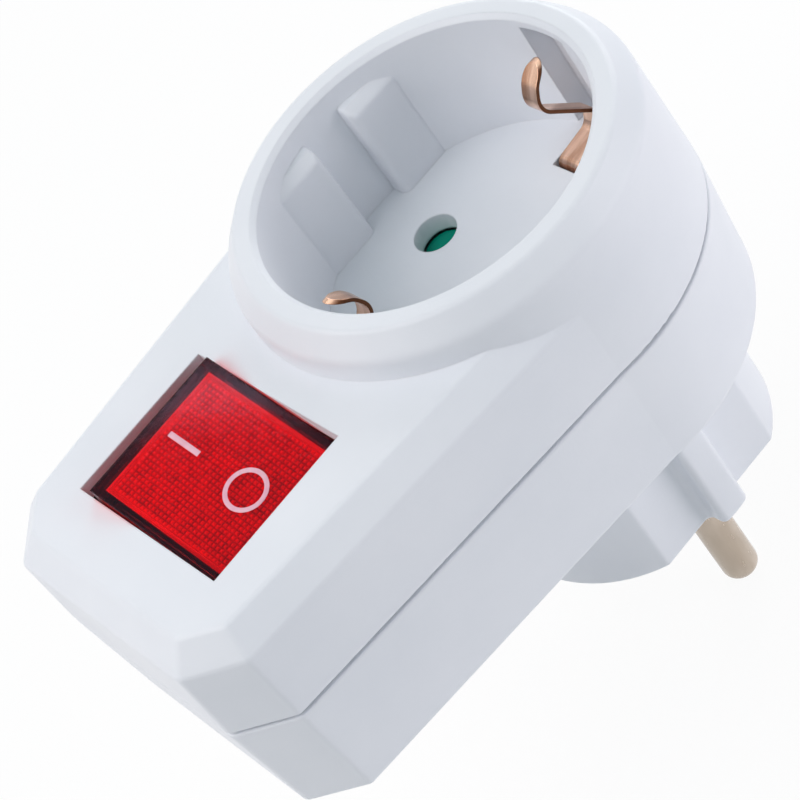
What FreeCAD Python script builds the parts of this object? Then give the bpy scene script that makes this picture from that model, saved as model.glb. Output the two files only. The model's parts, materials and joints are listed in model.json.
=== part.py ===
"""Switched pass-through plug adapter, as an assembly of separate sub-parts.

Frame: millimetres, +Z up along the socket, origin at the centre of the plug face between the pins.
The long axis is X with the switch at -X; the two pins stand on the Y axis.
"""
import FreeCAD, Part
import math
import os
import re
import Sketcher
from FreeCAD import Placement, Rotation, Vector

SIZES = {
    # housing
    "end_radius": 25.6, "flank_inset": 0.15, "flank_angle": 4.57, "body_length": 59.3, "corner_cut": 6.0,
    "seam_height": 38.0, "seam_gap": 0.45, "seam_depth": 1.0, "rear_base": 21.5, "panel_height": 51.4,
    "edge_bevel": 3.0, "corner_round": 1.2, "edge_round": 0.9, "seam_round": 0.3, "front_draft": 1.8,
    "rear_draft": 2.6, "wall": 2.2, "lap": 0.2, "floor_inset": 0.4, "rim_height": 57.0,
    "rim_radius": 22.9, "rim_bevel": 2.8, "rim_chamfer": 0.6,
    # socket
    "recess_radius": 20.15, "recess_depth": 17.5, "floor_thickness": 2.5, "cup_radius": 23.4,
    "cup_foot_radius": 22.6, "pin_offset": 9.5, "hole_radius": 2.75, "lug_gap": 5.6, "lug_reach": 10.5,
    "lug_face": 17.5, "lug_drop": 3.0, "lug_lead_drop": 4.2, "lug_round": 1.1, "lug_edge": 0.6,
    "pocket_half": 3.5, "pocket_reach": 22.6, "pocket_drop": 1.6,
    # plug
    "plug_radius": 18.6, "plug_flat": 15.8, "rib_width": 4.4, "plug_wall": 2.1, "face_thickness": 3.0,
    "plug_edge": 0.7, "rib_round": 0.9, "groove_half": 2.6, "groove_depth": 1.5,
    "pin_radius": 2.4, "pin_length": 19.0,
    "pin_tip_round": 1.7, "pin_neck_radius": 2.2, "pin_flange_radius": 3.4, "pin_flange": 1.0,
    "pin_shank_radius": 1.9, "pin_shank": 5.0, "floor_plate": 2.2, "tube_radius": 4.6, "tube_drop": 5.8,
    # screws
    "screw_radius": 1.45, "screw_head_radius": 2.8, "screw_head": 2.0, "screw_recess": 3.0,
    "post_radius": 2.5, "post_inset": 5.5, "post_y": 13.0, "post_base_radius": 4.2, "case_screw_end": 2.7,
    "centre_screw_end": 3.5, "screw_slack": 0.05, "drive_slot": 0.8, "drive_reach": 2.0,
    # switch
    "switch_x": 39.15, "opening_length": 19.6, "opening_width": 25.4, "switch_wall": 1.6,
    "switch_depth": 18.2, "switch_floor": 2.0, "pivot_drop": 8.0, "rocker_rise": 7.6,
    "waist_slack": 0.5, "rocker_taper": 1.1, "rocker_slack": 0.2, "rocker_wall": 1.1,
    "carrier_slack": 0.05, "carrier_room": 0.4, "carrier_plate": 0.8, "carrier_rim": 0.5,
    "rocker_skirt": 1.6, "rock_angle": 11.0, "trunnion_radius": 1.5, "trunnion_length": 1.0,
    "trunnion_slack": 0.05, "pole_offset": 5.0, "stem_radius": 2.5, "stem_length": 5.6, "bore_drop": 3.5,
    "plunger_radius": 1.7, "plunger_nose": 0.8, "plunger_slack": 0.06, "plunger_reach": 6.4,
    "plunger_length": 4.6, "spring_wire": 0.36, "plunger_spring_radius": 1.2,
    "arm_thick": 0.8, "arm_half_length": 9.5, "arm_width": 4.0, "arm_tilt": 6.0,
    "tip_radius": 1.5, "tip_thick": 0.5, "contact_reach": 8.6, "contact_gap": 0.3,
    "tab_width": 4.8, "tab_thick": 0.8, "bar_share": 0.28,
    "lamp_radius": 1.9, "lamp_half": 4.5, "lamp_rise": 6.3, "lead_radius": 0.3, "resistor_radius": 1.0,
    "resistor_inset": 2.2, "resistor_rise": 2.0, "cradle_half": 1.3, "saddle_half": 0.5,
    "holder_thick": 1.2, "holder_height": 0.6, "lead_reach": 0.5,
    # conductors
    "bar_thick": 0.8, "bar_width": 3.0, "bar_riser_x": 10.0, "cross_bar_x": 27.0,
    "neutral_bar_y": 12.6, "sleeve_gap": 4.5, "sleeve_thick": 0.8, "sleeve_width": 6.4,
    "sleeve_drop": 4.2, "sleeve_hole": 2.7,
    # earth
    "bridge_half_width": 2.4, "bridge_disc": 5.6, "clip_width": 2.5, "clip_root_width": 3.3,
    "clip_thick": 0.45, "clip_root_x": 14.2, "clip_heel_x": 19.5, "clip_heel_rise": 0.8,
    "clip_heel_bend": 1.6, "clip_knee_x": 20.3, "clip_knee_rise": 3.3,
    "clip_contact_x": 14.3, "clip_contact_rise": 9.6, "clip_curl_x": 15.6, "clip_curl_rise": 12.3,
    "clip_curl_bend": 3.0, "clip_tip_x": 18.1, "clip_tip_rise": 14.35,
    "clip_bend": 1.0, "clip_contact_bend": 2.4, "slot_slack": 0.4, "heel_room": 0.9,
    # child-proof shutter
    "shutter_inner": 3.55, "shutter_outer": 5.4, "shutter_thick": 2.4, "shutter_gap": 0.35,
    "shutter_pad": 3.5, "shutter_dome": 1.0, "shutter_slope": 0.8, "shutter_arm": 4.4,
    "centre_post_radius": 3.5, "shutter_spring_radius": 4.3,
}

# Places that follow from the sizes. Heights are measured up from the plug face.
WORKED = {
    "floor_top": "rim_height - recess_depth", "floor_under": "floor_top - floor_thickness",
    "rear_floor": "rear_base + floor_plate", "panel_under": "panel_height - wall",
    "bevel_foot": "panel_height - edge_bevel", "collar_top": "rim_height - rim_bevel",
    "tube_top": "floor_under - tube_drop", "bridge_top": "tube_top + bar_thick",
    "sleeve_top": "floor_under - sleeve_drop", "sleeve_outer": "sleeve_gap / 2 + sleeve_thick",
    "shutter_top": "floor_under - shutter_gap", "shutter_base": "shutter_top - shutter_thick",
    "pin_shank_top": "face_thickness + pin_shank", "post_x": "body_length - post_inset",
    "case_screw_seat": "rear_base + screw_recess", "case_screw_top": "panel_under - case_screw_end",
    "centre_screw_top": "floor_top - centre_screw_end",
    "switch_base": "panel_under - switch_depth", "switch_inner": "switch_base + switch_floor",
    "pivot_height": "panel_height - pivot_drop", "rocker_top": "pivot_height + rocker_rise",
    "rocker_waist": "pivot_height - rocker_skirt", "rocker_length": "opening_length - 2 * rocker_slack",
    "stem_low": "pivot_height - stem_length", "bore_top": "rocker_top - bore_drop",
    "plunger_tip": "pivot_height - plunger_reach",
    "arm_under": "plunger_tip - contact_gap - arm_thick", "arm_height": "arm_under + arm_thick / 2",
    "closed_tip": "arm_height - contact_reach * sin(arm_tilt) - contact_depth * cos(arm_tilt)",
    "contact_depth": "arm_thick / 2 + tip_thick",
    "pad_top": "closed_tip - contact_gap - tip_thick", "lamp_height": "switch_inner + lamp_rise",
    "resistor_height": "switch_inner + resistor_rise", "resistor_start": "lamp_half + 2 * lead_reach",
    "bar_room": "switch_base - rear_floor - 2 * bar_thick",
    "output_tab_end": "switch_base - bar_share * bar_room",
    "common_tab_end": "switch_base - 2 * bar_share * bar_room - bar_thick",
    "resistor_length": "opening_width / 2 - resistor_inset - resistor_start",
    "rocker_waist_half": "opening_width / 2 - waist_slack",
    "rocker_top_half": "rocker_waist_half - rocker_taper", "lens_under": "rocker_top - rocker_wall",
    "plate_top": "lens_under - carrier_room", "plate_under": "plate_top - carrier_plate",
    "groove_face": "plug_radius - groove_depth", "strip_face": "groove_face + bar_thick",
}

doc = FreeCAD.newDocument("PlugAdapter")
sheet = doc.addObject("Spreadsheet::Sheet", "Sizes")
for row, (name, value) in enumerate(SIZES.items(), start=1):
    sheet.set("A%d" % row, name)
    sheet.set("B%d" % row, str(value))
    sheet.setAlias("B%d" % row, name)
doc.recompute()

TURN = {"x": Rotation(Vector(0, 1, 0), 90), "y": Rotation(Vector(1, 0, 0), -90), "z": Rotation()}
BIG = 90.0
SIDES = (("left", 1), ("right", -1))
POLES = (("line", 1), ("neutral", -1))
ENDS = (("far", 1), ("near", -1))
NODES = []


def expand(expression):
    """The expression with each worked-out place replaced by what it comes from."""
    total = str(expression)
    while any(word in WORKED for word in re.findall(r"[a-z_]+", total)):
        total = re.sub(r"[a-z_]+", lambda word: "(%s)" % WORKED[word[0]] if word[0] in WORKED else word[0],
                       total)
    return total


def size(expression):
    """The present value of an expression of named sizes."""
    total = re.sub(r"[a-z_]+", lambda word: repr(sheet.get(word[0])) if word[0] in SIZES else word[0],
                   expand(expression))
    return FreeCAD.Units.Quantity(total).Value


def bound(expression):
    """The expression with each size name pointing at its cell."""
    return re.sub(r"[a-z_]+", lambda word: "Sizes." + word[0] if word[0] in SIZES else word[0],
                  expand(expression))


def bind(thing, **properties):
    for name, expression in properties.items():
        thing.setExpression(name, bound(expression))
    return thing


def place(thing, x, y, z):
    for axis, expression in zip("xyz", (x, y, z)):
        thing.setExpression("Placement.Base." + axis, bound(expression))
    return thing


def make(kind, label):
    thing = doc.addObject(kind, label)
    thing.Label = label
    return thing


def box(label, x0, x1, y0, y1, z0, z1):
    thing = bind(make("Part::Box", label), Length="(%s) - (%s)" % (x1, x0),
                 Width="(%s) - (%s)" % (y1, y0), Height="(%s) - (%s)" % (z1, z0))
    return place(thing, x0, y0, z0)


def rod(label, start, length, radius, axis="z"):
    thing = bind(make("Part::Cylinder", label), Radius=radius, Height=length)
    thing.Placement = Placement(Vector(), TURN[axis])
    return place(thing, *start)


def cone(label, start, length, low_radius, high_radius):
    thing = bind(make("Part::Cone", label), Radius1=low_radius, Radius2=high_radius, Height=length)
    return place(thing, *start)


def fuse(label, *pieces):
    thing = make("Part::MultiFuse", label)
    thing.Shapes = list(pieces)
    return thing


def cut(label, base, *tools):
    thing = make("Part::Cut", label)
    thing.Base = base
    thing.Tool = tools[0] if len(tools) == 1 else fuse(label + "_tools", *tools)
    return thing


def common(label, *pieces):
    thing = make("Part::MultiCommon", label)
    thing.Shapes = list(pieces)
    return thing


def node(thing):
    """Marks a finished sub-part, which is written to its own file."""
    NODES.append(thing)
    return thing


def span(side, near, far):
    """The two limits of a stretch from near to far on the +1 or -1 side."""
    if side > 0:
        return near, far
    return "-(%s)" % far, "-(%s)" % near


def tilt(thing, sense, angle, height, x="0", z="0"):
    """Turns a piece that starts at x, z about the X line at the given height; sense +1 lifts +Y."""
    thing.Placement = Placement(Vector(), Rotation(Vector(sense, 0, 0), size(angle)))
    bind(thing, **{"Placement.Rotation.Angle": angle})
    rise = "((%s) - (%s))" % (z, height)
    return place(thing, x, "%d * %s * sin(%s)" % (-sense, rise, angle),
                 "%s + %s * cos(%s)" % (height, rise, angle))


def bent_path(points, bends):
    """A wire through the points in the XZ plane; bends are the radii of its corners in turn."""
    edges = []
    start = points[0]
    for before, corner, after, radius in zip(points, points[1:], points[2:], bends):
        into = (corner - before).normalize()
        out = (after - corner).normalize()
        turn = into.getAngle(out)
        setback = radius * math.tan(turn / 2)
        first = corner - into * setback
        last = corner + out * setback
        inward = (out - into).normalize()
        middle = corner + inward * (radius / math.cos(turn / 2) - radius)
        edges += [Part.LineSegment(start, first).toShape(), Part.Arc(first, middle, last).toShape()]
        start = last
    edges.append(Part.LineSegment(start, points[-1]).toShape())
    return Part.Wire(edges)


def plan(label, height, inset):
    """The outline of the housing seen from above, moved in by the inset."""
    radius = "(end_radius - flank_inset - (%s))" % inset
    length = "(body_length - (%s))" % inset
    corner = "(corner_cut - (2 - sqrt(2)) * (%s))" % inset
    half = "(%s / cos(flank_angle) - tan(flank_angle) * (%s - %s))" % (radius, length, corner)
    sketch = make("Sketcher::SketchObject", label)
    r, x, c = size("end_radius"), size("body_length"), size("corner_cut")
    lean = math.radians(size("flank_angle"))
    y = r / math.cos(lean) - math.tan(lean) * (x - c)
    circle = Part.Circle(Vector(), Vector(0, 0, 1), r)
    quarter = math.pi / 2 + lean
    sketch.addGeometry(Part.ArcOfCircle(circle, -quarter, quarter))
    corners = [(-r * math.sin(lean), r * math.cos(lean)), (c - x, y), (-x, y - c),
               (-x, c - y), (c - x, -y), (-r * math.sin(lean), -r * math.cos(lean))]
    points = [Vector(px, py, 0) for px, py in corners]
    for first, last in zip(points, points[1:]):
        sketch.addGeometry(Part.LineSegment(first, last))
    joins = [("Coincident", 0, 3, -1, 1), ("Tangent", 0, 2, 1, 1), ("Tangent", 5, 2, 0, 1)]
    joins += [("Coincident", line, 2, line + 1, 1) for line in (1, 2, 3, 4)]
    for join in joins:
        sketch.addConstraint(Sketcher.Constraint(*join))
    measures = [("radius", ("Radius", 0, r), radius),
                ("reach", ("DistanceX", 2, 2, -1, 1, x), length),
                ("reach_other", ("DistanceX", 3, 2, -1, 1, x), length),
                ("shoulder", ("DistanceX", 1, 2, -1, 1, x - c), "%s - %s" % (length, corner)),
                ("shoulder_other", ("DistanceX", 4, 2, -1, 1, x - c), "%s - %s" % (length, corner)),
                ("half", ("DistanceY", -1, 1, 1, 2, y), half),
                ("half_other", ("DistanceY", 4, 2, -1, 1, y), half),
                ("nose", ("DistanceY", -1, 1, 2, 2, y - c), "%s - %s" % (half, corner)),
                ("nose_other", ("DistanceY", 3, 2, -1, 1, y - c), "%s - %s" % (half, corner))]
    for name, values, expression in measures:
        index = sketch.addConstraint(Sketcher.Constraint(*values))
        sketch.renameConstraint(index, name)
        sketch.setExpression("Constraints." + name, bound(expression))
    place(sketch, "0", "0", height)
    return sketch


def outline(label, height, inset):
    """The outline with its sharp corners rounded off."""
    thing = plan(label, height, inset)
    for step, distance in (("_within", "-corner_round"), ("_rounded", "corner_round")):
        source = thing
        thing = bind(make("Part::Offset2D", label + step), Value=distance)
        thing.Source = source
    return thing


def rounded(label, thing, *edges):
    """Rounds the flat loops at the given heights; each one is a height, a radius and a least reach."""
    doc.recompute()
    chosen = []
    for i, edge in enumerate(thing.Shape.Edges, start=1):
        limits = edge.BoundBox
        reach = max(vertex.Point.x ** 2 + vertex.Point.y ** 2 for vertex in edge.Vertexes) ** 0.5
        for height, radius, least in edges:
            if limits.ZLength < 0.001 and abs(limits.ZMin - size(height)) < 0.001 and reach > size(least):
                chosen.append((i, size(radius), size(radius)))
    result = make("Part::Fillet", label)
    result.Base = thing
    result.Edges = chosen
    return result


def block(label, *levels):
    """A solid through the outline at several heights; each level is a height and an inset."""
    thing = make("Part::Loft", label)
    thing.Sections = [outline("%s_outline_%d" % (label, i), *level) for i, level in enumerate(levels)]
    thing.Solid = True
    thing.Ruled = True
    return thing


def front_shell():
    shrink = "(bevel_foot - seam_height) * tan(front_draft)"
    collar_radius = "end_radius - (collar_top - seam_height) * tan(front_draft)"
    body = rounded("front_block_rounded",
                   block("front_block", ("seam_height", "0"), ("bevel_foot", shrink),
                         ("panel_height", shrink + " + edge_bevel")),
                   ("seam_height", "seam_round", "0"), ("bevel_foot", "edge_round", "0"),
                   ("panel_height", "edge_round", "0"))
    collar = rounded("front_collar_rounded",
                     fuse("front_collar_whole",
                          cone("front_collar", ("0", "0", "seam_height"), "collar_top - seam_height",
                               "end_radius", collar_radius),
                          cone("front_rim", ("0", "0", "collar_top"), "rim_bevel", collar_radius,
                               "rim_radius")),
                     ("seam_height", "seam_round", "0"), ("collar_top", "2 * edge_round", "0"),
                     ("rim_height", "edge_round", "0"))
    room = block("front_inside", ("seam_height - 1", "wall"), ("panel_under", "wall"))
    cup = rod("front_cup", ("0", "0", "floor_under"), "panel_under - floor_under + 1", "cup_radius")
    shell = cut("front_open", fuse("front_solid", body, collar), cut("front_hollow", room, cup))
    foot = rod("front_cup_foot", ("0", "0", "floor_under"), "floor_thickness", "cup_foot_radius")
    post = rod("front_centre_post", ("0", "0", "bridge_top"), "floor_top - bridge_top",
               "centre_post_radius")
    posts = [rod("front_post_" + name, ("-post_x", "%d * post_y" % side, "seam_height"),
                 "panel_under - seam_height + lap", "post_radius") for name, side in SIDES]
    cutters = [rod("front_recess", ("0", "0", "floor_top"), BIG, "recess_radius"),
               cone("front_rim_chamfer", ("0", "0", "rim_height - rim_chamfer"), "rim_chamfer",
                    "recess_radius", "recess_radius + rim_chamfer"),
               box("front_opening", "-switch_x - opening_length / 2", "-switch_x + opening_length / 2",
                   "-opening_width / 2", "opening_width / 2", "panel_under - 1", "panel_height + 1"),
               rod("front_centre_bore", ("0", "0", "tube_top"), "centre_screw_top - tube_top + 1",
                   "screw_radius + screw_slack")]
    for name, side in SIDES:
        cutters.append(rod("front_pin_hole_" + name, ("0", "%d * pin_offset" % side, "floor_under - 1"),
                           "floor_thickness + 2", "hole_radius"))
        cutters.append(rod("front_screw_bore_" + name, ("-post_x", "%d * post_y" % side, "seam_height - 1"),
                           "case_screw_top - seam_height + 3", "screw_radius + screw_slack"))
    for name, side in ENDS:
        x0, x1 = span(side, "recess_radius - 2", "pocket_reach")
        cutters.append(box("front_pocket_" + name, x0, x1, "-pocket_half", "pocket_half", "floor_top",
                           "rim_height - pocket_drop"))
        x0, x1 = span(side, "clip_root_x - clip_thick / 2 - slot_slack", "clip_knee_x + heel_room")
        cutters.append(box("front_clip_slot_" + name, x0, x1, "-clip_root_width / 2 - slot_slack",
                           "clip_root_width / 2 + slot_slack", "floor_under - 1", "floor_top + 1"))
    carved = cut("front_carved", fuse("front_joined", shell, foot, post, *posts), *cutters)
    lugs = [lug("%s_%s" % (side_word, end_word), side, end)
            for side_word, side in SIDES for end_word, end in ENDS]
    return node(fuse("front_shell", carved, *lugs))


def lug(name, side, end):
    """A guide lug on the recess wall, with a slope on top that leads a plug in and rounded edges."""
    x0, x1 = span(end, "lug_gap / 2", "lug_reach")
    y0, y1 = span(side, "lug_face", "recess_radius + 2 * lap")
    body = box("front_lug_block_" + name, x0, x1, y0, y1, "floor_top - lap", "rim_height - lug_drop")
    slope = box("front_lug_slope_" + name, x0 + " - 1", x1 + " + 1", "0", "lug_lead_drop", "0",
                "lug_lead_drop")
    slope.Placement = Placement(Vector(), Rotation(Vector(1, 0, 0), 45))
    place(slope, x0 + " - 1", "%d * lug_face" % side, "rim_height - lug_lead_drop")
    whole = cut("front_lug_whole_" + name, body, slope)
    doc.recompute()
    face, low, high = size("lug_face"), size("floor_top"), size("rim_height - lug_lead_drop - lap")
    front, over = size("lug_round"), size("lug_edge")
    edges = []
    for i, edge in enumerate(whole.Shape.Edges, start=1):
        if all(abs(abs(vertex.Y) - face) < 0.001 for vertex in edge.Vertexes) and edge.BoundBox.ZMax > low:
            edges.append((i, front, front))
        elif edge.BoundBox.ZMin > high and edge.BoundBox.XLength < 0.001:
            edges.append((i, over, over))
    result = make("Part::Fillet", "front_lug_" + name)
    result.Base = whole
    result.Edges = edges
    return result


def plug_body():
    """The round plug, cut flat beside its two ribs, with all its outer edges rounded."""
    flats = []
    for name, side in SIDES:
        for end_word, end in ENDS:
            x0, x1 = span(end, "rib_width / 2", "plug_radius")
            y0, y1 = span(side, "plug_flat", "plug_radius + 1")
            flats.append(box("plug_flat_%s_%s" % (name, end_word), x0, x1, y0, y1, "-1", "rear_base + 2"))
    shaped = cut("plug_shaped", rod("plug_round", ("0", "0", "0"), "rear_base + 1", "plug_radius"), *flats)
    doc.recompute()
    upright = [i for i, edge in enumerate(shaped.Shape.Edges, start=1)
               if edge.BoundBox.ZLength > size("rear_base") and abs(edge.CenterOfMass.y) > size("rib_width")]
    sides = make("Part::Fillet", "plug_sides")
    sides.Base = shaped
    sides.Edges = [(i, size("rib_round"), size("rib_round")) for i in upright]
    return rounded("plug_rounded", sides, ("0", "plug_edge", "0"))


def rear_shell():
    rim = "seam_height - seam_gap"
    shrink = "(%s - rear_base) * tan(rear_draft)" % rim
    body = rounded("rear_block_rounded", block("rear_block", ("rear_base", shrink), (rim, "0")),
                   ("rear_base", "edge_round", "0"), (rim, "seam_round", "0"))
    round_end = rounded("rear_end_rounded",
                        cone("rear_round_end", ("0", "0", "rear_base"), rim + " - rear_base",
                             "end_radius - " + shrink, "end_radius"),
                        ("rear_base", "edge_round", "0"), (rim, "seam_round", "0"))
    lip = block("rear_lip", ("seam_height - 4", "seam_depth"), ("seam_height", "seam_depth"))
    inside = block("rear_inside", ("rear_floor", "wall + floor_inset"), ("seam_height + 1", "wall"))
    plug_room = common("rear_plug_room",
                       rod("rear_plug_room_round", ("0", "0", "face_thickness"),
                           "rear_base - face_thickness", "groove_face - plug_wall + 1"),
                       box("rear_plug_room_flat", "-plug_radius", "plug_radius", "-plug_flat + plug_wall",
                           "plug_flat - plug_wall", "0", "rear_base"))
    shell = cut("rear_open", fuse("rear_solid", body, round_end, lip, plug_body()), inside, plug_room)
    pieces = [shell, rod("rear_tube", ("0", "0", "0"), "tube_top", "tube_radius")]
    cutters = [rod("rear_centre_bore", ("0", "0", "-1"), "tube_top + 2",
                   "screw_radius + screw_slack"),
               rod("rear_centre_head", ("0", "0", "-1"), "screw_recess + 1",
                   "screw_head_radius + screw_slack")]
    for name, side in SIDES:
        x, y = "-post_x", "%d * post_y" % side
        pieces.append(rod("rear_post_" + name, (x, y, "rear_base + lap"),
                          "seam_height - rear_base - lap", "post_radius"))
        pieces.append(rod("rear_post_base_" + name, (x, y, "rear_base + lap"), "screw_recess + floor_plate",
                          "post_base_radius"))
        cutters.append(rod("rear_screw_bore_" + name, (x, y, "rear_base - 1"),
                           "seam_height - rear_base + 2", "screw_radius + screw_slack"))
        cutters.append(rod("rear_screw_head_" + name, (x, y, "rear_base - 1"), "screw_recess + 1",
                           "screw_head_radius + screw_slack"))
        y = "%d * pin_offset" % side
        cutters.append(rod("rear_pin_bore_" + name, ("0", y, "-1"), "face_thickness + 2",
                           "pin_neck_radius + screw_slack"))
        cutters.append(rod("rear_pin_room_" + name, ("0", y, "rear_base - 1"), "floor_plate + 2",
                           "pin_radius + slot_slack"))
        cutters.append(box("rear_bar_slot_" + name, "-bar_riser_x - slot_slack",
                           "-bar_riser_x + bar_thick + slot_slack", y + " - bar_width / 2 - slot_slack",
                           y + " + bar_width / 2 + slot_slack", "rear_base - 1", "rear_floor + 1"))
    for name, end in ENDS:
        x0, x1 = span(end, "groove_face", "plug_radius + 2")
        cutters.append(box("rear_groove_" + name, x0, x1, "-groove_half", "groove_half", "-1", "rear_base"))
        x0, x1 = span(end, "groove_face", "strip_face")
        cutters.append(box("rear_earth_slot_" + name, x0, x1, "-bridge_half_width", "bridge_half_width",
                           "rear_base - 1", "rear_floor + 1"))
    return node(cut("rear_shell", fuse("rear_joined", *pieces), *cutters))


def screw(label, x, y, seat, tip):
    """A screw that stands up from its seat to its tip, with a cross slot in the head below."""
    shank = rod(label + "_shank", (x, y, seat), "%s - (%s)" % (tip, seat), "screw_radius")
    head = rod(label + "_head", (x, y, seat + " - screw_head"), "screw_head", "screw_head_radius")
    slots = []
    for name, along, across in (("length", "drive_reach", "drive_slot / 2"),
                                ("cross", "drive_slot / 2", "drive_reach")):
        slots.append(box("%s_slot_%s" % (label, name), "%s - %s" % (x, along), "%s + %s" % (x, along),
                         "%s - %s" % (y, across), "%s + %s" % (y, across), seat + " - screw_head - 1",
                         seat + " - screw_head / 2"))
    return node(cut(label, fuse(label + "_whole", shank, head), *slots))


def screws():
    for name, side in SIDES:
        screw("case_screw_" + name, "-post_x", "%d * post_y" % side, "case_screw_seat", "case_screw_top")
    screw("centre_screw", "0", "0", "screw_recess", "centre_screw_top")


def pins():
    for name, side in POLES:
        y = "%d * pin_offset" % side
        blank = rod("pin_blank_" + name, ("0", y, "-pin_length"), "pin_length", "pin_radius")
        doc.recompute()
        low_edge = min(range(len(blank.Shape.Edges)), key=lambda i: blank.Shape.Edges[i].CenterOfMass.z) + 1
        rounded = make("Part::Fillet", "pin_rounded_" + name)
        rounded.Base = blank
        rounded.Edges = [(low_edge, size("pin_tip_round"), size("pin_tip_round"))]
        neck = rod("pin_neck_" + name, ("0", y, "-1"), "face_thickness + 1", "pin_neck_radius")
        flange = rod("pin_flange_" + name, ("0", y, "face_thickness"), "pin_flange", "pin_flange_radius")
        shank = rod("pin_shank_" + name, ("0", y, "face_thickness"), "pin_shank", "pin_shank_radius")
        node(fuse("pin_" + name, rounded, neck, flange, shank))


def sleeves():
    for name, side in POLES:
        y = "%d * pin_offset" % side
        y0, y1 = y + " - sleeve_width / 2", y + " + sleeve_width / 2"
        pieces = [box("sleeve_base_" + name, "-sleeve_outer", "sleeve_outer", y0, y1, "rear_floor",
                      "rear_floor + sleeve_thick")]
        for word, end in ENDS:
            x0, x1 = span(end, "sleeve_gap / 2", "sleeve_outer")
            pieces.append(box("sleeve_blade_%s_%s" % (name, word), x0, x1, y0, y1, "rear_floor",
                              "sleeve_top"))
        hole = rod("sleeve_hole_" + name, ("0", y, "rear_floor - 1"), BIG, "sleeve_hole")
        node(cut("contact_sleeve_" + name, fuse("sleeve_whole_" + name, *pieces), hole))


def strip(label, x0, x1, y0, y1, top):
    """A flat run of bar whose upper face is at the given height."""
    return box(label, x0, x1, y0, y1, top + " - bar_thick", top)


def bars():
    """Brass strips from the pins to the switch and from the switch to the sleeves."""
    for name, side in POLES:
        pole = pole_x(side)
        y0, y1 = "%d * pin_offset - bar_width / 2" % side, "%d * pin_offset + bar_width / 2" % side
        cross0, cross1 = ("-tab_width / 2", y1) if side > 0 else (y0, "tab_width / 2")
        node(fuse("feed_bar_" + name,
                  strip("feed_foot_" + name, "-bar_riser_x", "pin_shank_radius", y0, y1,
                        "pin_shank_top + bar_thick"),
                  box("feed_riser_" + name, "-bar_riser_x", "-bar_riser_x + bar_thick", y0, y1,
                      "pin_shank_top", "common_tab_end"),
                  strip("feed_run_" + name, pole + " - bar_width / 2", "-bar_riser_x + bar_thick", y0, y1,
                        "common_tab_end"),
                  strip("feed_cross_" + name, pole + " - bar_width / 2", pole + " + bar_width / 2", cross0,
                        cross1, "common_tab_end")))
    near, far = pole_x(1) + " - bar_width / 2", "-cross_bar_x + bar_width"
    y0, y1 = "pin_offset - bar_width / 2", "pin_offset + bar_width / 2"
    node(fuse("output_bar_line",
              strip("output_line_start", near, far, "-contact_reach - bar_width / 2",
                    "-contact_reach + bar_width / 2", "output_tab_end"),
              strip("output_line_cross", "-cross_bar_x", far, "-contact_reach - bar_width / 2", y1,
                    "output_tab_end"),
              strip("output_line_run", "-cross_bar_x", "-sleeve_outer", y0, y1, "output_tab_end")))
    near, far = pole_x(-1) + " - bar_width / 2", pole_x(-1) + " + bar_width / 2"
    y0, y1 = "-neutral_bar_y - bar_width / 2", "-neutral_bar_y + bar_width / 2"
    node(fuse("output_bar_neutral",
              strip("output_neutral_start", near, far, y0, "-contact_reach + bar_width / 2",
                    "output_tab_end"),
              strip("output_neutral_run", near, "-sleeve_outer", y0, y1, "output_tab_end"),
              strip("output_neutral_end", "-sleeve_outer - bar_width", "-sleeve_outer", y0,
                    "-pin_offset + bar_width / 2", "output_tab_end")))


def earth():
    bridge = fuse("earth_bridge_whole",
                  strip("earth_bridge_strip", "-strip_face", "strip_face", "-bridge_half_width",
                        "bridge_half_width", "bridge_top"),
                  rod("earth_bridge_disc", ("0", "0", "tube_top"), "bar_thick", "bridge_disc"))
    bore = rod("earth_bridge_bore", ("0", "0", "tube_top - 1"), "bar_thick + 2",
               "screw_radius + screw_slack")
    node(cut("earth_bridge", bridge, bore))
    for name, side in ENDS:
        x0, x1 = span(side, "groove_face", "strip_face")
        node(box("plug_earth_strip_" + name, x0, x1, "-bridge_half_width", "bridge_half_width", "plug_edge",
                 "tube_top"))
        node(earth_clip("earth_clip_" + name, side))


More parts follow.
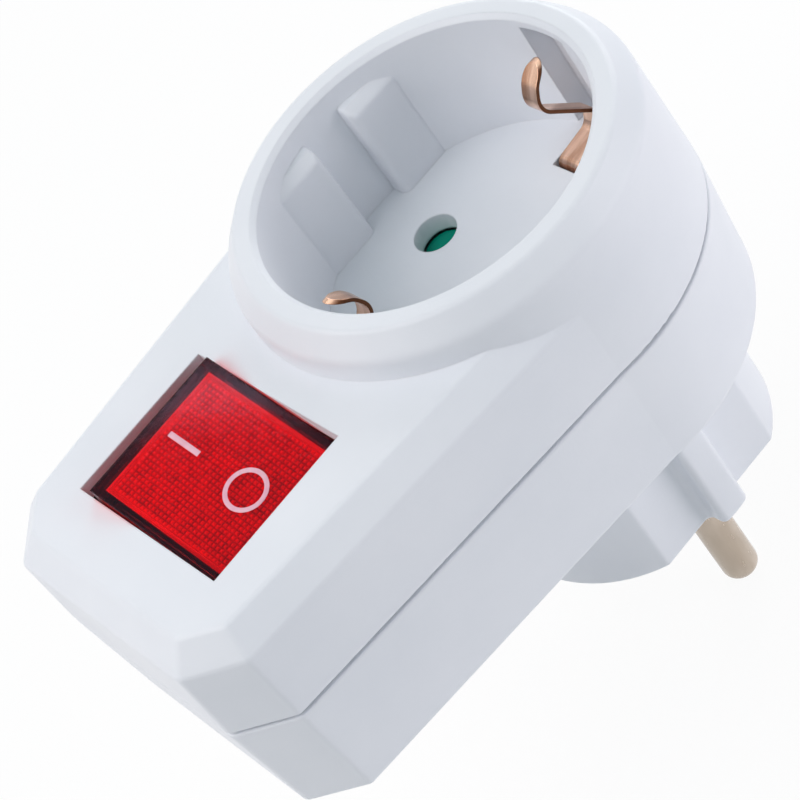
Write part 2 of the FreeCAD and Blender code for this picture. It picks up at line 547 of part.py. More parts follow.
def earth_clip(label, side):
    """A bent spring strip: up through the floor, out to the wall and up it, in to the contact, out again."""
    floor, knee, tip = [size("floor_top + " + rise) for rise in ("0", "clip_knee_rise", "clip_tip_rise")]
    places = [("clip_root_x", "bridge_top + contact_gap"),
              ("clip_root_x", "floor_top + clip_thick / 2"),
              ("clip_heel_x", "floor_top + clip_heel_rise"),
              ("clip_knee_x", "floor_top + clip_knee_rise"),
              ("clip_contact_x", "floor_top + clip_contact_rise"),
              ("clip_curl_x", "floor_top + clip_curl_rise"), ("clip_tip_x", "floor_top + clip_tip_rise")]
    bends = [size(bend) for bend in ("clip_bend", "clip_heel_bend", "clip_bend", "clip_contact_bend",
                                     "clip_curl_bend")]
    spine = bent_path([Vector(side * size(x), 0, size(z)) for x, z in places], bends)
    edges = []
    ends = []
    for offset in (size("clip_thick / 2"), -size("clip_thick / 2")):
        border = spine.makeOffset2D(offset, 0, False, True)
        edges += border.Edges
        ends.append([border.OrderedVertexes[0].Point, border.OrderedVertexes[-1].Point])
    edges += [Part.LineSegment(first, last).toShape() for first, last in zip(*ends)]
    face = Part.Face(Part.Wire(Part.__sortEdges__(edges)))
    root_half, half = size("clip_root_width / 2"), size("clip_width / 2")
    face.translate(Vector(0, -root_half, 0))
    band = face.extrude(Vector(0, 2 * root_half, 0))
    # The strip is wide at its root, flares in to the knee and ends in a round tip.
    top = tip - size("clip_thick / 2")
    corners = [Vector(0, y, z)
               for y, z in ((-half, knee), (-half, top - half), (half, top - half), (half, knee),
                            (root_half, floor), (root_half, 0), (-root_half, 0), (-root_half, floor))]
    flare_half, flare_height = half + (root_half - half) / 4, (floor + knee) / 2
    profile = [Part.LineSegment(corners[0], corners[1]), Part.Arc(corners[1], Vector(0, 0, top), corners[2]),
               Part.LineSegment(corners[2], corners[3]),
               Part.Arc(corners[3], Vector(0, flare_half, flare_height), corners[4]),
               Part.LineSegment(corners[4], corners[5]), Part.LineSegment(corners[5], corners[6]),
               Part.LineSegment(corners[6], corners[7]),
               Part.Arc(corners[7], Vector(0, -flare_half, flare_height), corners[0])]
    shape = Part.Face(Part.Wire([curve.toShape() for curve in profile]))
    shape.translate(Vector(-BIG, 0, 0))
    thing = make("Part::Feature", label)
    thing.Shape = band.common(shape.extrude(Vector(2 * BIG, 0, 0))).removeSplitter()
    return thing


def shutter():
    bar_top = "shutter_top - shutter_dome"
    pieces = [rod("shutter_hub", ("0", "0", "shutter_base"), "shutter_thick", "shutter_outer"),
              box("shutter_arm", "-shutter_arm / 2", "shutter_arm / 2", "-pin_offset", "pin_offset",
                  "shutter_base", bar_top)]
    for name, side in SIDES:
        y = "%d * pin_offset" % side
        pieces.append(rod("shutter_pad_" + name, ("0", y, "shutter_base"), bar_top + " - shutter_base",
                          "shutter_pad"))
        pieces.append(cone("shutter_dome_" + name, ("0", y, bar_top), "shutter_dome", "shutter_pad",
                           "shutter_pad - shutter_slope"))
    bore = rod("shutter_bore", ("0", "0", "shutter_base - 1"), "shutter_thick + 2", "shutter_inner")
    node(cut("shutter", fuse("shutter_whole", *pieces), bore))
    node(coil("shutter_spring", ("0", "0", "bridge_top + spring_wire"),
              "shutter_base - bridge_top - 2 * spring_wire", 2, "shutter_spring_radius"))


def coil(label, start, height, turns, radius):
    """A helical spring of round wire."""
    helix = bind(make("Part::Helix", label + "_path"), Height=height, Radius=radius,
                 Pitch="(%s) / %d" % (height, turns))
    ring = bind(make("Part::Circle", label + "_wire"), Radius="spring_wire / 2")
    ring.Placement = Placement(Vector(), TURN["y"])
    place(ring, radius, "0", "0")
    thing = make("Part::Sweep", label)
    thing.Sections = [ring]
    thing.Spine = (helix, [])
    thing.Solid = True
    thing.Frenet = True
    place(thing, *start)
    return thing


def pole_x(side):
    """Where a pole of the switch lies along the long axis."""
    return "(-switch_x + pole_offset)" if side > 0 else "(-switch_x - pole_offset)"


def switch_body():
    outer = box("switch_outer", "-switch_x - opening_length / 2 - switch_wall",
                "-switch_x + opening_length / 2 + switch_wall", "-opening_width / 2 - switch_wall",
                "opening_width / 2 + switch_wall", "switch_base", "panel_under")
    room = box("switch_room", "-switch_x - opening_length / 2", "-switch_x + opening_length / 2",
               "-opening_width / 2", "opening_width / 2", "switch_inner", "panel_under + 1")
    bearing = rod("switch_bearing",
                  ("-switch_x - opening_length / 2 - trunnion_length - rocker_slack", "0", "pivot_height"),
                  "opening_length + 2 * (trunnion_length + rocker_slack)",
                  "trunnion_radius + trunnion_slack", "x")
    hollow = cut("switch_hollow", outer, room, bearing)
    holders = [box("switch_cradle_" + name, "-switch_x - cradle_half", "-switch_x + cradle_half",
                   "(%d * lamp_half - holder_thick) / 2" % side, "(%d * lamp_half + holder_thick) / 2" % side,
                   "switch_inner - lap", "lamp_height - holder_height * lamp_radius") for name, side in SIDES]
    holders.append(box("switch_resistor_stand", "-switch_x - resistor_radius",
                       "-switch_x + resistor_radius", "resistor_start + holder_thick",
                       "resistor_start + 2 * holder_thick", "switch_inner - lap",
                       "resistor_height - holder_height * resistor_radius"))
    seats = [rod("switch_lamp_room", ("-switch_x", "-lamp_half", "lamp_height"), "2 * lamp_half",
                 "lamp_radius", "y"),
             rod("switch_resistor_room", ("-switch_x", "resistor_start", "resistor_height"),
                 "resistor_length", "resistor_radius", "y")]
    for name, side in POLES:
        x0, x1 = pole_x(side) + " - tab_thick / 2", pole_x(side) + " + tab_thick / 2"
        for y, end in (("0", "common"), ("-contact_reach", "output")):
            seats.append(box("switch_slot_%s_%s" % (end, name), x0, x1, y + " - tab_width / 2",
                             y + " + tab_width / 2", "switch_base - 1", "switch_inner + 0.01"))
    node(cut("switch_body", fuse("switch_fitted", hollow, *holders), *seats))


def terminals():
    for name, side in POLES:
        x = pole_x(side)
        thin = (x + " - tab_thick / 2", x + " + tab_thick / 2")
        broad = (x + " - arm_width / 2", x + " + arm_width / 2")
        common_y = ("-tab_width / 2", "tab_width / 2")
        output_y = ("-contact_reach - tab_width / 2", "-contact_reach + tab_width / 2")
        blade = box("common_blade_" + name, *thin, *common_y, "common_tab_end", "switch_inner")
        saddle = box("common_saddle_" + name, *broad, "-saddle_half", "saddle_half", "switch_inner",
                     "arm_under - contact_gap")
        node(fuse("common_terminal_" + name, blade, saddle))
        blade = box("output_blade_" + name, *thin, *output_y, "output_tab_end", "switch_inner")
        pad = box("output_pad_" + name, *broad, *output_y, "switch_inner", "pad_top")
        node(fuse("output_terminal_" + name, blade, pad))
        node(rod("fixed_tip_" + name, (x, "-contact_reach", "pad_top"), "tip_thick", "tip_radius"))
        arm = [box("moving_arm_%s_%s" % (name, end), *broad, y0, y1, "arm_under",
                   "arm_under + arm_thick")
               for end, y0, y1 in (("front", "-arm_half_length", "0"), ("rear", "0", "arm_half_length"))]
        tip = rod("moving_tip_" + name, (x, "-contact_reach", "arm_under - tip_thick"), "tip_thick",
                  "tip_radius")
        node(tilt(fuse("moving_contact_" + name, tip, *arm), -1, "arm_tilt", "arm_height"))


def wedge(label, low, high, low_half, high_half, length):
    """A block whose ends lean in: low_half at the bottom, high_half at the top, seen along X."""
    thing = bind(make("Part::Wedge", label), Xmin="0", Xmax=length, X2min="0", X2max=length, Ymin="0",
                 Ymax="(%s) - (%s)" % (high, low), Zmin="-(%s)" % low_half, Zmax=low_half,
                 Z2min="-(%s)" % high_half, Z2max=high_half)
    thing.Placement = Placement(Vector(), Rotation(Vector(1, 0, 0), 90))
    return place(thing, "-switch_x - (%s) / 2" % length, "0", low)


def rocker():
    cap = wedge("rocker_cap", "pivot_height", "rocker_top", "rocker_waist_half", "rocker_top_half",
                "rocker_length")
    skirt = box("rocker_skirt_block", "-switch_x - rocker_length / 2", "-switch_x + rocker_length / 2",
                "-rocker_waist_half + rocker_wall", "rocker_waist_half - rocker_wall", "rocker_waist",
                "pivot_height")
    hollow = wedge("rocker_hollow", "rocker_waist - 1", "lens_under",
                   "rocker_waist_half - rocker_wall * 1.6", "rocker_top_half - rocker_wall",
                   "rocker_length - 2 * rocker_wall")
    pieces = [cut("rocker_shell", fuse("rocker_block", cap, skirt), hollow)]
    for name, start in (("far", "-switch_x + rocker_length / 2 - lap"),
                        ("near", "-switch_x - rocker_length / 2 - trunnion_length - rocker_slack")):
        pieces.append(rod("rocker_trunnion_" + name, (start, "0", "pivot_height"),
                          "trunnion_length + rocker_slack + lap", "trunnion_radius", "x"))
    node(tilt(fuse("rocker", *pieces), 1, "rock_angle", "pivot_height"))
    half_x = "(rocker_length / 2 - rocker_wall - carrier_slack)"
    half_y = "(rocker_top_half - rocker_wall - carrier_slack)"
    plate = box("rocker_plate", "-switch_x - " + half_x, "-switch_x + " + half_x, "-" + half_y, half_y,
                "plate_under", "lens_under")
    stems = [plate]
    bores = [box("rocker_plate_room", "-switch_x - %s + carrier_rim" % half_x,
                 "-switch_x + %s - carrier_rim" % half_x, "-%s + carrier_rim" % half_y,
                 half_y + " - carrier_rim", "plate_top", "lens_under + 1")]
    for name, side in POLES:
        x = pole_x(side)
        stems.append(rod("rocker_stem_" + name, (x, "0", "stem_low"), "plate_under + lap - stem_low",
                         "stem_radius"))
        bores.append(rod("rocker_bore_" + name, (x, "0", "stem_low - 1"), "bore_top + 1 - stem_low",
                         "plunger_radius + plunger_slack"))
    node(tilt(cut("rocker_carrier", fuse("rocker_carrier_whole", *stems), *bores), 1, "rock_angle",
              "pivot_height"))
    for name, side in POLES:
        x = pole_x(side)
        stick = rod("plunger_stick_" + name, (x, "0", "plunger_tip + plunger_nose"),
                    "plunger_length - plunger_nose", "plunger_radius")
        nose = cone("plunger_nose_" + name, (x, "0", "plunger_tip"), "plunger_nose", "plunger_radius / 2",
                    "plunger_radius")
        node(tilt(fuse("plunger_" + name, stick, nose), 1, "rock_angle", "pivot_height"))
        spring_low = "plunger_tip + plunger_length + spring_wire"
        spring = coil("plunger_spring_" + name, ("0", "0", "0"),
                      "bore_top - spring_wire - (%s)" % spring_low, 7, "plunger_spring_radius")
        node(tilt(spring, 1, "rock_angle", "pivot_height", x, spring_low))


def lamp():
    x = "-switch_x"
    node(rod("lamp", (x, "-lamp_half", "lamp_height"), "2 * lamp_half", "lamp_radius", "y"))
    node(rod("resistor", (x, "resistor_start", "resistor_height"), "resistor_length", "resistor_radius",
             "y"))
    lead("lamp_lead_rear", x, ("lamp_half", "lamp_height"), ("lamp_half + lead_reach", "lamp_height"),
         ("lamp_half + lead_reach", "resistor_height"), ("resistor_start", "resistor_height"))
    lead("lamp_lead_front", x, ("-lamp_half", "lamp_height"), ("-lamp_half - 2 * lead_reach", "lamp_height"),
         ("-lamp_half - 2 * lead_reach", "switch_inner"))
    lead("resistor_lead", x, ("resistor_start + resistor_length", "resistor_height"),
         ("resistor_start + resistor_length + 2 * lead_reach", "resistor_height"),
         ("resistor_start + resistor_length + 2 * lead_reach", "switch_inner"))


def lead(label, x, *points):
    """Round wire through points of y and z that lie square to each other."""
    pieces = []
    for i, ((y0, z0), (y1, z1)) in enumerate(zip(points, points[1:])):
        name = "%s_run_%d" % (label, i)
        if z0 == z1:
            if size(y1) < size(y0):
                y0, y1 = y1, y0
            pieces.append(rod(name, (x, y0, z0), "%s - (%s)" % (y1, y0), "lead_radius", "y"))
        else:
            pieces.append(rod(name, (x, y0, z1), "%s - (%s)" % (z0, z1), "lead_radius"))
    for i, (y, z) in enumerate(points[1:-1]):
        elbow = bind(make("Part::Sphere", "%s_elbow_%d" % (label, i)), Radius="lead_radius")
        pieces.append(place(elbow, x, y, z))
    node(fuse(label, *pieces))


def check_and_write():
    doc.recompute()
    faulty = [thing.Label for thing in doc.Objects if "Invalid" in thing.State or "Error" in thing.State]
    if faulty:
        raise RuntimeError("failed objects: " + ", ".join(faulty))
    for thing in NODES:
        if thing.Shape.isNull() or not thing.Shape.isValid() or len(thing.Shape.Solids) != 1:
            raise RuntimeError("%s is not one valid solid" % thing.Label)
    os.makedirs("parts", exist_ok=True)
    for thing in NODES:
        thing.Shape.exportStep("parts/%s.step" % thing.Label)
        print("%-26s %9.2f mm3" % (thing.Label, thing.Shape.Volume))


front_shell()
rear_shell()
screws()
pins()
sleeves()
bars()
earth()
shutter()
switch_body()
terminals()
rocker()
lamp()
check_and_write()
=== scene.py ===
"""Looks of the switched pass-through plug adapter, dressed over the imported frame.

Blender works in metres. The places on the part are given in millimetres, as its source has them.
"""
import json
import math

import bmesh
import bpy
from mathutils import Matrix, Quaternion, Vector


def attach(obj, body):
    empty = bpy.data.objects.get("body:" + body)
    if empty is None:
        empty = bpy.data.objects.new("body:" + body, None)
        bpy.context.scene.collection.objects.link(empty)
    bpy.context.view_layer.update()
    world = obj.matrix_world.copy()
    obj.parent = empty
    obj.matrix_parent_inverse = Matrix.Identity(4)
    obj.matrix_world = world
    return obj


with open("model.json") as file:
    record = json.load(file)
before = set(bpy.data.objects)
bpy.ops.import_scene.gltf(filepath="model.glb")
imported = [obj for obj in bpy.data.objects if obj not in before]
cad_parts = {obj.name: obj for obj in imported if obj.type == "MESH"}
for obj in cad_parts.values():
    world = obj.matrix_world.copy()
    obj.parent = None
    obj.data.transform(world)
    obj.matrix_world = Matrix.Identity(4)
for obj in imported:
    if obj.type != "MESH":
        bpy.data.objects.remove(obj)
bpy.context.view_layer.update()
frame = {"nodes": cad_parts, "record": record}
NODES = frame["nodes"]
MM = 0.001

# The rocker's pivot and the angle at which it lies, and the height of the pins' tips.
SWITCH_X = -39.15
PIVOT_Z = 43.4
ROCK_ANGLE = math.radians(11)
PIN_TIP_Z = -19.0

# Heights above the rocker's pivot: the lens top, and the pocket under it with its half sizes.
LENS_TOP = 7.6
POCKET_FLOOR = 6.1
POCKET_TOP = 6.5
POCKET_HALF = (7.95, 9.45)

# The studs in the pocket: the size of one, its height, the share of that at the rim, and the gap to the lens.
STUD_CELL = 0.61
STUD_RISE = 0.28
RIM_SHARE = 0.6
STUD_GAP = 0.04

# The printed marks on the lens: the bar of the I, the ring of the O, and the print's height.
BAR_X = 0.4
BAR_START = 3.2
BAR_STEP = 0.48
BAR_POINTS = 11
BAR_HALF_WIDTH = 0.36
RING_CENTRE = (0.14, -4.55)
RING_RADIUS = 2.37
RING_POINTS = 64
RING_HALF_WIDTH = 0.3
PRINT_HEIGHT = 0.05
PRINT_SUNK = 0.02
PRINT_PROFILE = ((-1.0, 0.0), (-0.9, 0.75), (-0.6, 1.0), (0.6, 1.0), (0.9, 0.75), (1.0, 0.0))

# How bright the floor and the surroundings look when seen directly, and how far the floor is under the tips.
FLOOR_SHARE = 0.93
WORLD_SHARE = 1.0
FLOOR_DROP = 0.02


# Node helpers
class Shader:
    """A material under construction: its node tree and its Principled shader."""

    def __init__(self, name):
        self.material = bpy.data.materials.new(name)
        self.material.use_nodes = True
        self.tree = self.material.node_tree
        self.surface = self.tree.nodes["Principled BSDF"]
        self.output = self.tree.nodes["Material Output"]
        self.place = self.add("ShaderNodeTexCoord").outputs["Object"]

    def add(self, kind, **settings):
        node = self.tree.nodes.new(kind)
        for name, value in settings.items():
            setattr(node, name, value)
        return node

    def link(self, source, target):
        self.tree.links.new(source, target)

    def feed(self, socket, value):
        """Links another node's output to the socket, or sets the socket to a number."""
        if hasattr(value, "is_linked"):
            self.link(value, socket)
        else:
            socket.default_value = value

    def base(self, **values):
        """Sets the Principled shader's own sockets; an underscore stands for a space."""
        for name, value in values.items():
            self.surface.inputs[name.replace("_", " ")].default_value = value

    def set(self, **sources):
        """Links node outputs to the Principled shader's sockets."""
        for name, source in sources.items():
            self.link(source, self.surface.inputs[name.replace("_", " ")])

    def show(self, share, first, second):
        """Makes the surface a mix of two shaders, where a share of 1 is all of the second."""
        mix = self.add("ShaderNodeMixShader")
        self.link(share, mix.inputs["Fac"])
        self.link(first, mix.inputs[1])
        self.link(second, mix.inputs[2])
        self.link(mix.outputs["Shader"], self.output.inputs["Surface"])

    def math(self, operation, first, second=0.0, third=0.0, clamp=False):
        node = self.add("ShaderNodeMath", operation=operation, use_clamp=clamp)
        for socket, value in zip(node.inputs, (first, second, third)):
            self.feed(socket, value)
        return node.outputs[0]

    def noise(self, scale, detail, roughness=0.5, place=None):
        """Noise with features of about 1 / scale metres."""
        node = self.add("ShaderNodeTexNoise")
        self.link(place or self.place, node.inputs["Vector"])
        for name, value in (("Scale", scale), ("Detail", detail), ("Roughness", roughness)):
            node.inputs[name].default_value = value
        return node.outputs["Fac"]

    def ramp(self, value, *stops):
        """Colours along a value; each stop is a position and a colour."""
        node = self.add("ShaderNodeValToRGB")
        elements = node.color_ramp.elements
        while len(elements) < len(stops):
            elements.new(0.5)
        for element, (position, colour) in zip(elements, stops):
            element.position = position
            element.color = (*colour, 1)
        self.link(value, node.inputs["Fac"])
        return node.outputs["Color"]

    def span(self, value, low, high):
        """The 0 to 1 value stretched to run from low to high."""
        node = self.add("ShaderNodeMapRange")
        self.link(value, node.inputs["Value"])
        node.inputs["To Min"].default_value = low
        node.inputs["To Max"].default_value = high
        return node.outputs["Result"]

    def bump(self, height, distance, strength, under=None):
        """A normal bent by a height, on top of another normal where one is given."""
        node = self.add("ShaderNodeBump")
        node.inputs["Strength"].default_value = strength
        node.inputs["Distance"].default_value = distance
        self.link(height, node.inputs["Height"])
        if under:
            self.link(under, node.inputs["Normal"])
        return node.outputs["Normal"]

    def soft_edges(self, radius):
        """A normal that looks rounded at the edges."""
        node = self.add("ShaderNodeBevel", samples=6)
        node.inputs["Radius"].default_value = radius
        return node.outputs["Normal"]


def moulded(name, dark, light, roughness, coat=0.0):
    """Moulded plastic: a faint drift of colour, uneven sheen and a fine grain."""
    grain_height, edge_radius = 0.00002, 0.00035
    s = Shader(name)
    s.base(Coat_Weight=coat, Coat_Roughness=0.15, IOR=1.5)
    drift = s.noise(55, 4)
    grain = s.noise(2600, 2)
    s.set(Base_Color=s.ramp(drift, (0.3, dark), (0.7, light)),
          Roughness=s.span(s.noise(260, 5), roughness - 0.06, roughness + 0.07),
          Normal=s.bump(grain, grain_height, 0.5, s.soft_edges(edge_radius)))
    return s


# The sockets of a Mix node for colours, which share their names with those for numbers.
MIX_FIRST, MIX_SECOND, MIX_RESULT = 6, 7, 2


def metal(name, dark, light, roughness, brushed=(1, 1, 1), side_shade=None, tarnish=180, polish=1.0):
    """Sheet or turned metal: streaks along one direction, patches of tarnish and tiny dents.

    A dark colour, where one is given, is a painted shade on the sides of a strip, which face along Y. A polish
    below 1 stands for a dull film on the metal, which scatters part of the light.
    """
    dent_height, edge_radius = 0.000008, 0.00012
    s = Shader(name)
    s.base(Metallic=polish)
    stretch = s.add("ShaderNodeMapping")
    stretch.inputs["Scale"].default_value = brushed
    s.link(s.place, stretch.inputs["Vector"])
    streak = s.noise(1400, 4, 0.6, stretch.outputs["Vector"])
    patches = s.noise(tarnish, 3, 0.5, stretch.outputs["Vector"])
    colour = s.ramp(patches, (0.36, dark), (0.62, light))
    if side_shade:
        axes = s.add("ShaderNodeSeparateXYZ")
        s.link(s.add("ShaderNodeTexCoord").outputs["Normal"], axes.inputs[0])
        # Painted shade on the sides facing along Y: its share grows from 0 to 1 as the normal's Y part grows from
        # 0.6 to 0.85.
        side = s.math("MULTIPLY_ADD", s.math("ABSOLUTE", axes.outputs["Y"]), 4.0, -2.4, clamp=True)
        mix = s.add("ShaderNodeMix", data_type="RGBA")
        s.link(side, mix.inputs["Factor"])
        s.link(colour, mix.inputs[MIX_FIRST])
        mix.inputs[MIX_SECOND].default_value = (*side_shade, 1)
        colour = mix.outputs[MIX_RESULT]
    s.set(Base_Color=colour,
          Roughness=s.span(streak, roughness - 0.08, roughness + 0.12),
          Normal=s.bump(streak, dent_height, 0.35, s.soft_edges(edge_radius)))
    return s


# Materials
white = moulded("white_plastic", (0.79, 0.815, 0.86), (0.84, 0.86, 0.90), 0.42)
dark_plastic = moulded("black_switch_plastic", (0.018, 0.017, 0.019), (0.042, 0.040, 0.044), 0.45)
green = moulded("green_shutter_plastic", (0.0, 0.27, 0.18), (0.0, 0.36, 0.26), 0.24)
green.base(Specular_IOR_Level=0.2)
# The copper strip gets a near-black painted shade on its sides that face along Y.
copper = metal("copper_strip", (0.54, 0.295, 0.19), (0.91, 0.605, 0.45), 0.20, (1, 6, 1),
               side_shade=(0.15, 0.06, 0.03), tarnish=120)
nickel = metal("nickel_plating", (0.52, 0.43, 0.34), (0.80, 0.70, 0.605), 0.22, (1, 1, 0.3), tarnish=150,
               polish=0.5)
brass = metal("stamped_brass", (0.62, 0.44, 0.18), (0.80, 0.62, 0.30), 0.30, (1, 6, 1))
steel = metal("zinc_plated_steel", (0.48, 0.49, 0.50), (0.64, 0.65, 0.67), 0.28, (4, 4, 1))
silver = metal("silver_rivet", (0.76, 0.75, 0.72), (0.90, 0.89, 0.87), 0.22)
tin = metal("tinned_wire", (0.60, 0.60, 0.58), (0.76, 0.76, 0.74), 0.30)
ceramic = moulded("lacquered_resistor", (0.56, 0.44, 0.27), (0.66, 0.54, 0.36), 0.35, coat=0.5)


def clear_red():
    """Clear red plastic: it bends what is seen through it, and lets light on to what lies behind."""
    s = Shader("clear_red_plastic")
    s.base(Base_Color=(0.82, 0.02, 0.025, 1), Transmission_Weight=1.0, IOR=1.5,
           Specular_Tint=(0.28, 0.18, 0.30, 1))
    s.set(Roughness=s.span(s.noise(400, 4), 0.05, 0.11),
          Normal=s.bump(s.noise(900, 2), 0.000008, 0.4, s.soft_edges(0.0003)))
    passing = s.add("ShaderNodeBsdfTransparent")
    passing.inputs["Color"].default_value = (0.85, 0.16, 0.16, 1)
    s.show(s.add("ShaderNodeLightPath").outputs["Is Shadow Ray"], s.surface.outputs["BSDF"],
           passing.outputs["BSDF"])
    return s


def painted_light_red():
    """The studded insert under the lens: a painted highlight at the tips of the studs, painted shade between them,
    and a painted glow of its own colour.
    """
    s = Shader("prism_red")
    # Painted glow: the insert gives off light in its own colour, though it is no lamp.
    s.base(Specular_IOR_Level=0.6, Emission_Strength=0.24)
    # The height along the tilted rocker's own up direction, as 0 at the foot of a stud and 1 at its tip.
    height = s.add("ShaderNodeVectorMath", operation="DOT_PRODUCT")
    s.link(s.place, height.inputs[0])
    height.inputs[1].default_value = (0, -math.sin(ROCK_ANGLE), math.cos(ROCK_ANGLE))
    foot = PIVOT_Z * math.cos(ROCK_ANGLE) + POCKET_TOP - STUD_GAP - STUD_RISE
    level = s.math("MULTIPLY_ADD", height.outputs["Value"], 1 / (STUD_RISE * MM), -foot / STUD_RISE)
    mottle = s.math("MULTIPLY_ADD", s.noise(900, 4, 0.7), 1.1, -0.5)
    # Painted shade and highlight: the colour is dark at the foot of each stud and bright at its tip, with a random
    # mottle over it.
    colour = s.ramp(s.math("ADD", level, mottle, clamp=True), (0.0, (0.25, 0.001, 0.004)),
                    (0.35, (0.57, 0.006, 0.014)), (0.9, (0.88, 0.035, 0.05)))
    s.set(Base_Color=colour, Emission_Color=colour,
          Roughness=s.span(s.noise(1500, 3), 0.2, 0.45),
          Normal=s.bump(s.noise(1900, 3), 0.00003, 0.5))
    return s


def printed_mark():
    """Pale pink print, a little uneven."""
    s = Shader("printed_mark")
    s.set(Base_Color=s.ramp(s.noise(900, 3), (0.3, (0.78, 0.40, 0.50)), (0.7, (0.86, 0.52, 0.60))),
          Roughness=s.span(s.noise(1500, 3), 0.4, 0.55),
          Normal=s.bump(s.noise(2500, 2), 0.00001, 0.5))
    return s


def lamp_glass():
    """The neon lamp's bulb, with an orange glow."""
    s = Shader("lamp_glass")
    s.base(Base_Color=(0.95, 0.72, 0.5, 1), Transmission_Weight=0.6, IOR=1.45, Emission_Strength=0.4,
           Emission_Color=(1.0, 0.35, 0.12, 1))
    s.set(Roughness=s.span(s.noise(600, 3), 0.05, 0.14),
          Normal=s.bump(s.noise(1200, 2), 0.00001, 0.4))
    return s


red = clear_red()
prism = painted_light_red()
mark = printed_mark()
glass = lamp_glass()

SLOT_SHADERS = {
    "white_shell": white,
    "red_lens": red,
    "red_insert": prism,
    "black_plastic": dark_plastic,
    "green_plastic": green,
    "copper": copper,
    "nickel": nickel,
    "brass": brass,
    "steel": steel,
    "silver_tip": silver,
    "lamp_glass": glass,
    "resistor_body": ceramic,
    "tinned_wire": tin,
}
for part in frame["record"]["subparts"]:
    materials = NODES[part["node"]].data.materials
    materials.clear()
    materials.append(SLOT_SHADERS[part["material_slot"]].material)


# Pieces
def piece(name, mesh, shader, body):
    thing = bpy.data.objects.new(name, mesh)
    bpy.context.scene.collection.objects.link(thing)
    mesh.materials.append(shader.material)
    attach(thing, body)


# The rocker lies turned about its pivot: this takes a point of the upright rocker to its place.
ROCKED = Matrix.Translation((SWITCH_X * MM, 0, PIVOT_Z * MM)) @ Matrix.Rotation(ROCK_ANGLE, 4, "X")


def rocker_piece(name, mesh, shader):
    """Turns a mesh made on the upright rocker to its place and makes it a piece of the rocker."""
    bmesh.ops.recalc_face_normals(mesh, faces=mesh.faces)
    data = bpy.data.meshes.new(name)
    mesh.to_mesh(data)
    mesh.free()
    data.transform(ROCKED)
    piece(name, data, shader, "rocker")


def boundary(mesh):
    return [edge for edge in mesh.edges if edge.is_boundary]


def prism_field():
    """Small pyramids in rows on a thin slab, in the pocket under the lens, with a raised rim."""
    half_x, half_y = (half - STUD_GAP for half in POCKET_HALF)
    top = POCKET_TOP - STUD_GAP
    columns, rows = round(2 * half_x / STUD_CELL), round(2 * half_y / STUD_CELL)
    mesh = bmesh.new()

    def foot(i, j):
        inside = 0 < i < columns and 0 < j < rows
        height = top - STUD_RISE * (1 if inside else RIM_SHARE)
        return mesh.verts.new(((2 * i / columns - 1) * half_x * MM, (2 * j / rows - 1) * half_y * MM, height * MM))

    grid = [[foot(i, j) for j in range(rows + 1)] for i in range(columns + 1)]
    for i in range(columns):
        for j in range(rows):
            ring = [grid[i][j], grid[i + 1][j], grid[i + 1][j + 1], grid[i][j + 1]]
            centre = sum((v.co for v in ring), Vector()) / 4
            peak = mesh.verts.new((centre.x, centre.y, top * MM))
            for first, last in zip(ring, ring[1:] + ring[:1]):
                mesh.faces.new((first, last, peak))
    for made in bmesh.ops.extrude_edge_only(mesh, edges=boundary(mesh))["geom"]:
        if isinstance(made, bmesh.types.BMVert):
            made.co.z = (POCKET_FLOOR + STUD_GAP) * MM
    bmesh.ops.edgeloop_fill(mesh, edges=boundary(mesh))
    rocker_piece("prism_field", mesh, prism)


def printed_line(name, path, closed, half_width):
    """A raised line of print with rounded shoulders, along a path in the plane of the lens top."""
    count = len(path)
    mesh = bmesh.new()
    rings = []
    for i, point in enumerate(path):
        before = path[(i - 1) % count] if closed or i else point
        after = path[(i + 1) % count] if closed or i < count - 1 else point
        along = (Vector(after) - Vector(before)).normalized()
        across = Vector((-along.y, along.x))
        rings.append([mesh.verts.new(((point[0] + across.x * u * half_width) * MM,
                                      (point[1] + across.y * u * half_width) * MM,
                                      (LENS_TOP - PRINT_SUNK + v * PRINT_HEIGHT) * MM))
                      for u, v in PRINT_PROFILE])
    for i in range(count if closed else count - 1):
        first, last = rings[i], rings[(i + 1) % count]
        for k in range(len(PRINT_PROFILE) - 1):
            mesh.faces.new((first[k], first[k + 1], last[k + 1], last[k]))
        mesh.faces.new((first[-1], first[0], last[0], last[-1]))
    if not closed:
        mesh.faces.new(rings[0])
        mesh.faces.new(list(reversed(rings[-1])))
    rocker_piece(name, mesh, mark)


def ring_point(i):
    angle = math.tau * i / RING_POINTS
    return (RING_CENTRE[0] + RING_RADIUS * math.cos(angle), RING_CENTRE[1] + RING_RADIUS * math.sin(angle))


prism_field()
printed_line("mark_on", [(BAR_X, BAR_START + BAR_STEP * i) for i in range(BAR_POINTS)], False, BAR_HALF_WIDTH)
printed_line("mark_off", [ring_point(i) for i in range(RING_POINTS)], True, RING_HALF_WIDTH)


# Stage, lights and camera
def seen_directly(tree, share):
    """The given share for camera, glossy and transmitted rays, and nothing for the rest."""
    paths = tree.nodes.new("ShaderNodeLightPath")
    total = paths.outputs["Is Camera Ray"]
    for name in ("Is Glossy Ray", "Is Transmission Ray"):
        add = tree.nodes.new("ShaderNodeMath")
        add.operation = "MAXIMUM"
        tree.links.new(total, add.inputs[0])
        tree.links.new(paths.outputs[name], add.inputs[1])
        total = add.outputs[0]
    scaled = tree.nodes.new("ShaderNodeMath")
    scaled.operation = "MULTIPLY"
    scaled.inputs[1].default_value = share
    tree.links.new(total, scaled.inputs[0])
    return scaled.outputs[0]


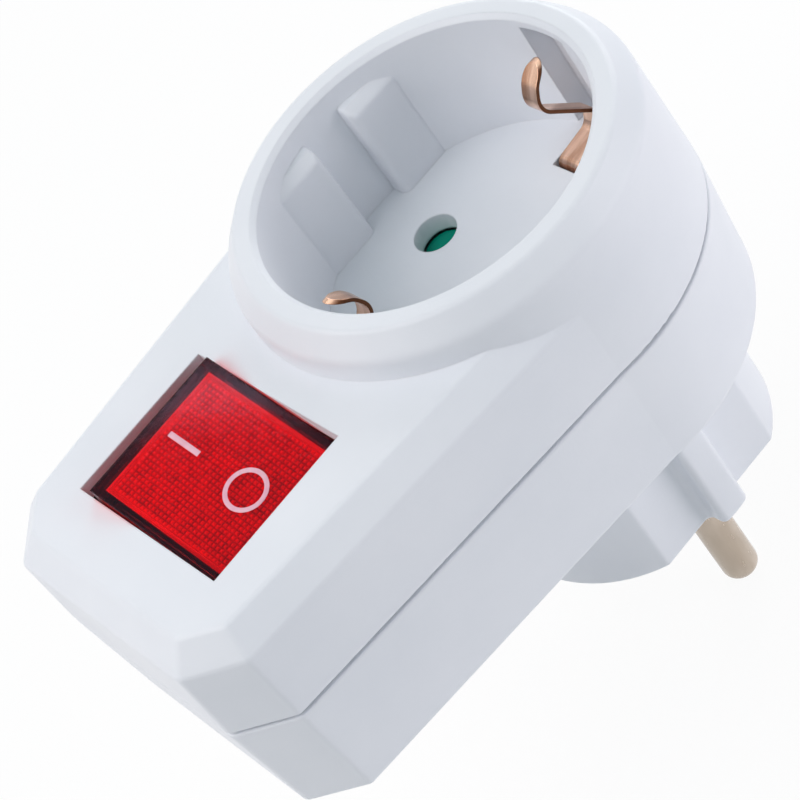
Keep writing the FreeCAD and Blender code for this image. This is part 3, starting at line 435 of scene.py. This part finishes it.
def stage_floor():
    """A pale floor under the pins' tips that keeps a faint shadow of the part."""
    bpy.ops.mesh.primitive_plane_add(size=6.0, location=(0, 0, (PIN_TIP_Z - FLOOR_DROP) * MM))
    floor = bpy.context.object
    floor.name = "floor"
    s = Shader("studio_floor")
    s.base(Base_Color=(0.92, 0.92, 0.93, 1), Roughness=0.8)
    s.set(Normal=s.bump(s.noise(300, 3), 0.0002, 0.1))
    bright = s.add("ShaderNodeEmission")
    s.show(seen_directly(s.tree, FLOOR_SHARE), s.surface.outputs["BSDF"], bright.outputs["Emission"])
    floor.data.materials.append(s.material)


def surroundings():
    """A soft, slightly blue light from all round, which looks white where it is seen directly."""
    world = bpy.data.worlds.new("studio")
    bpy.context.scene.world = world
    world.use_nodes = True
    tree = world.node_tree
    soft_light = tree.nodes["Background"]
    soft_light.inputs["Color"].default_value = (0.85, 0.945, 1.0, 1)
    soft_light.inputs["Strength"].default_value = 0.318
    white_world = tree.nodes.new("ShaderNodeBackground")
    white_world.inputs["Strength"].default_value = 1.0
    mix = tree.nodes.new("ShaderNodeMixShader")
    tree.links.new(seen_directly(tree, WORLD_SHARE), mix.inputs["Fac"])
    tree.links.new(soft_light.outputs["Background"], mix.inputs[1])
    tree.links.new(white_world.outputs["Background"], mix.inputs[2])
    tree.links.new(mix.outputs["Shader"], tree.nodes["World Output"].inputs["Surface"])


def lamp(name, place, aim, size, power, colour=(1, 1, 1)):
    """A rectangular lamp at a place, turned towards its aim; the power is in watts."""
    data = bpy.data.lights.new(name, "AREA")
    data.shape = "RECTANGLE"
    data.size, data.size_y = size
    data.energy = power
    data.color = colour
    light = bpy.data.objects.new(name, data)
    bpy.context.scene.collection.objects.link(light)
    light.location = place
    light.rotation_euler = (Vector(aim) - Vector(place)).to_track_quat("-Z", "Y").to_euler()


def camera():
    """The photograph's viewing angle, as solved from places on the part."""
    data = bpy.data.cameras.new("camera")
    data.lens = 115.1813
    data.sensor_width = 36.0
    data.shift_x = 0.010173
    data.shift_y = -0.015593
    data.clip_start = 0.01
    eye = bpy.data.objects.new("camera", data)
    bpy.context.scene.collection.objects.link(eye)
    eye.location = (-0.0738920, -0.2006103, 0.2292483)
    eye.rotation_mode = "QUATERNION"
    eye.rotation_quaternion = Quaternion((0.8143480, 0.3938298, 0.0813264, -0.4184751))
    bpy.context.scene.camera = eye


PART_MIDDLE = (0, 0, 0.03)
stage_floor()
surroundings()
lamp("over", (-0.23, 0.055, 0.29), PART_MIDDLE, (0.275, 0.275), 0.66, (1.0, 0.94, 0.94))
lamp("top", (0, 0, 0.7), PART_MIDDLE, (0.5, 0.5), 0.56, (0.86, 1.0, 1.0))
lamp("far", (0.35, 0.3, 0.2), PART_MIDDLE, (0.3, 0.3), 0.90)
lamp("near", (0.3, -0.3, 0.1), PART_MIDDLE, (0.3, 0.3), 0.86, (1.0, 0.945, 0.99))
# A thin lamp that shows as the pale sheen on the lens.
lamp("strip", (0.062, 0.276, 0.581), (-0.088, 0.141, 0.081), (0.25, 0.014), 0.05)
camera()
bpy.context.scene.view_settings.view_transform = "Standard"
